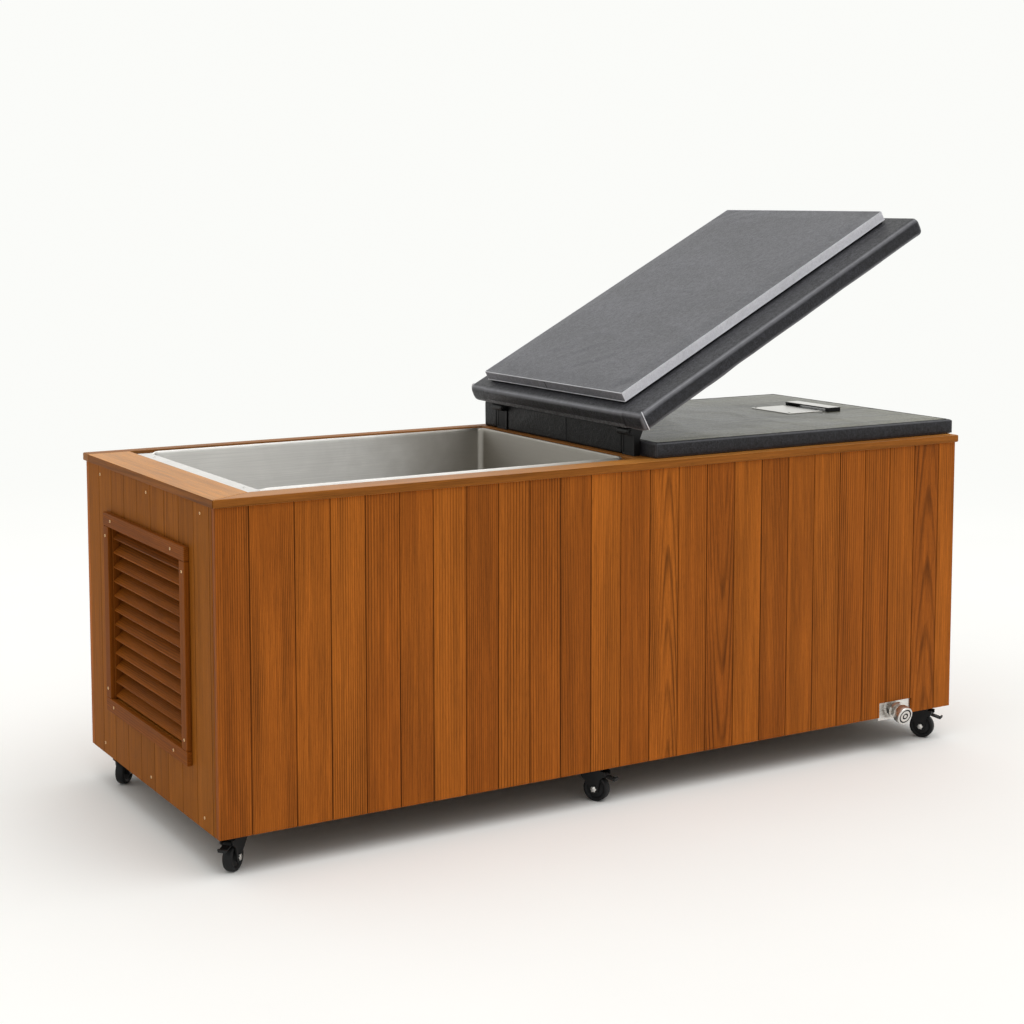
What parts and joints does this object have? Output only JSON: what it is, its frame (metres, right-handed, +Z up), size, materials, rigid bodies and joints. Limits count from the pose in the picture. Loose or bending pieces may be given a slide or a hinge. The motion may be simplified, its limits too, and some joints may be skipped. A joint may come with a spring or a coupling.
{
  "type": "cold plunge tub",
  "caption": "Timber-clad cold plunge tub on swivel casters, with a steel basin, a hinged insulated lid, a covered chiller bay, a louvred end and a front drain.",
  "frame": {"origin": "on the floor, under the middle of the whole object's box", "axes": "+X along the cabinet towards the chiller bay, +Y from the front to the back, +Z up"},
  "size_m": [2.0744, 0.8753, 1.3788],
  "materials": {
    "cedar": "satin",
    "rim_timber": "satin",
    "plywood": "matte",
    "steel": "satin",
    "foam": "matte",
    "charcoal_vinyl": "satin",
    "grey_vinyl": "satin",
    "black_metal": "satin",
    "casing": "satin",
    "black_plastic": "satin",
    "filter_plastic": "gloss",
    "hose_rubber": "matte",
    "wheel_rubber": "matte"
  },
  "bodies": {
    "cabinet": {"front_cladding": "cedar", "back_cladding": "cedar", "left_cladding": "cedar", "right_cladding": "cedar", "louvre_frame": "cedar", "louvre_slats": "cedar", "rim_front": "rim_timber", "rim_back": "rim_timber", "rim_left": "rim_timber", "rim_right": "rim_timber", "rim_divider": "rim_timber", "base_deck": "plywood", "basin": "steel", "drain_fitting": "steel", "suction_fitting": "steel", "return_fitting": "steel", "drain_plate": "steel", "drain_spout": "steel", "basin_jacket": "foam", "hinge_bracket_front": "black_metal", "hinge_bracket_back": "black_metal", "chiller_case": "casing", "circulation_pump": "black_plastic", "power_inlet": "black_plastic", "filter_housing": "filter_plastic", "suction_hose": "hose_rubber", "pump_hose": "hose_rubber", "feed_hose": "hose_rubber", "return_hose": "hose_rubber", "drain_hose": "hose_rubber", "caster_plate_front_left": "black_metal", "caster_plate_front_middle": "black_metal", "caster_plate_front_right": "black_metal", "caster_plate_back_left": "black_metal", "caster_plate_back_middle": "black_metal", "caster_plate_back_right": "black_metal"},
    "lid": {"lid_panel": "charcoal_vinyl", "lid_plug": "grey_vinyl", "hinge_leaf_front": "black_metal", "hinge_leaf_back": "black_metal"},
    "bay_cover_unit": {"bay_cover": "charcoal_vinyl", "handle_plate": "steel", "handle_bar": "steel"},
    "drain_cap": {"drain_knob": "steel"},
    "fan": {"chiller_fan": "black_plastic"},
    "caster_front_left": {"caster_fork_front_left": "black_metal"},
    "wheel_front_left": {"caster_wheel_front_left": "wheel_rubber"},
    "brake_front_left": {"brake_pedal_front_left": "black_plastic"},
    "caster_front_middle": {"caster_fork_front_middle": "black_metal"},
    "wheel_front_middle": {"caster_wheel_front_middle": "wheel_rubber"},
    "brake_front_middle": {"brake_pedal_front_middle": "black_plastic"},
    "caster_front_right": {"caster_fork_front_right": "black_metal"},
    "wheel_front_right": {"caster_wheel_front_right": "wheel_rubber"},
    "brake_front_right": {"brake_pedal_front_right": "black_plastic"},
    "caster_back_left": {"caster_fork_back_left": "black_metal"},
    "wheel_back_left": {"caster_wheel_back_left": "wheel_rubber"},
    "caster_back_middle": {"caster_fork_back_middle": "black_metal"},
    "wheel_back_middle": {"caster_wheel_back_middle": "wheel_rubber"},
    "caster_back_right": {"caster_fork_back_right": "black_metal"},
    "wheel_back_right": {"caster_wheel_back_right": "wheel_rubber"}
  },
  "joints": [
    {"name": "lid_hinge", "type": "hinge", "parent": "cabinet", "child": "lid", "pos_m": [0.06875, 0.01894, 0.8643], "axis": [0, 1, 0], "range_deg": [-152, 0]},
    {"name": "bay_cover_slide", "type": "slide", "parent": "cabinet", "child": "bay_cover_unit", "axis": [1, 0, 0], "range_m": [0, 0.4]},
    {"name": "drain_turn", "type": "hinge", "parent": "cabinet", "child": "drain_cap", "pos_m": [0.84015, -0.39406, 0.102], "axis": [0, -0.9659, -0.2588], "range_deg": [0, 90]},
    {"name": "fan_spin", "type": "hinge", "parent": "cabinet", "child": "fan", "pos_m": [0.51815, 0.20094, 0.3373], "axis": [1, 0, 0], "continuous": true},
    {"name": "swivel_front_left", "type": "hinge", "parent": "cabinet", "child": "caster_front_left", "pos_m": [-0.95185, -0.32806, 0.06], "axis": [0, 0, 1], "continuous": true},
    {"name": "roll_front_left", "type": "hinge", "parent": "caster_front_left", "child": "wheel_front_left", "pos_m": [-0.97298, -0.34643, 0.03111], "axis": [0.6561, -0.7547, 0], "continuous": true},
    {"name": "brake_front_left_press", "type": "hinge", "parent": "caster_front_left", "child": "brake_front_left", "pos_m": [-0.98959, -0.36086, 0.0654], "axis": [0.6561, -0.7547, 0], "range_deg": [0, 16]},
    {"name": "swivel_front_middle", "type": "hinge", "parent": "cabinet", "child": "caster_front_middle", "pos_m": [-0.06985, -0.32806, 0.06], "axis": [0, 0, 1], "continuous": true},
    {"name": "roll_front_middle", "type": "hinge", "parent": "caster_front_middle", "child": "wheel_front_middle", "pos_m": [-0.05585, -0.35231, 0.03111], "axis": [0.866, 0.5, 0], "continuous": true},
    {"name": "brake_front_middle_press", "type": "hinge", "parent": "caster_front_middle", "child": "brake_front_middle", "pos_m": [-0.04485, -0.37136, 0.0654], "axis": [0.866, 0.5, 0], "range_deg": [0, 16]},
    {"name": "swivel_front_right", "type": "hinge", "parent": "cabinet", "child": "caster_front_right", "pos_m": [0.95815, -0.32806, 0.06], "axis": [0, 0, 1], "continuous": true},
    {"name": "roll_front_right", "type": "hinge", "parent": "caster_front_right", "child": "wheel_front_right", "pos_m": [0.97215, -0.35231, 0.03111], "axis": [0.866, 0.5, 0], "continuous": true},
    {"name": "brake_front_right_press", "type": "hinge", "parent": "caster_front_right", "child": "brake_front_right", "pos_m": [0.98315, -0.37136, 0.0654], "axis": [0.866, 0.5, 0], "range_deg": [0, 16]},
    {"name": "swivel_back_left", "type": "hinge", "parent": "cabinet", "child": "caster_back_left", "pos_m": [-0.95185, 0.36594, 0.06], "axis": [0, 0, 1], "continuous": true},
    {"name": "roll_back_left", "type": "hinge", "parent": "caster_back_left", "child": "wheel_back_left", "pos_m": [-0.9713, 0.3458, 0.03111], "axis": [0.7193, -0.6947, 0], "continuous": true},
    {"name": "swivel_back_middle", "type": "hinge", "parent": "cabinet", "child": "caster_back_middle", "pos_m": [-0.06985, 0.36594, 0.06], "axis": [0, 0, 1], "continuous": true},
    {"name": "roll_back_middle", "type": "hinge", "parent": "caster_back_middle", "child": "wheel_back_middle", "pos_m": [-0.0626, 0.3389, 0.03111], "axis": [0.9659, 0.2588, 0], "continuous": true},
    {"name": "swivel_back_right", "type": "hinge", "parent": "cabinet", "child": "caster_back_right", "pos_m": [0.95815, 0.36594, 0.06], "axis": [0, 0, 1], "continuous": true},
    {"name": "roll_back_right", "type": "hinge", "parent": "caster_back_right", "child": "wheel_back_right", "pos_m": [0.97615, 0.34449, 0.03111], "axis": [0.766, 0.6428, 0], "continuous": true}
  ]
}
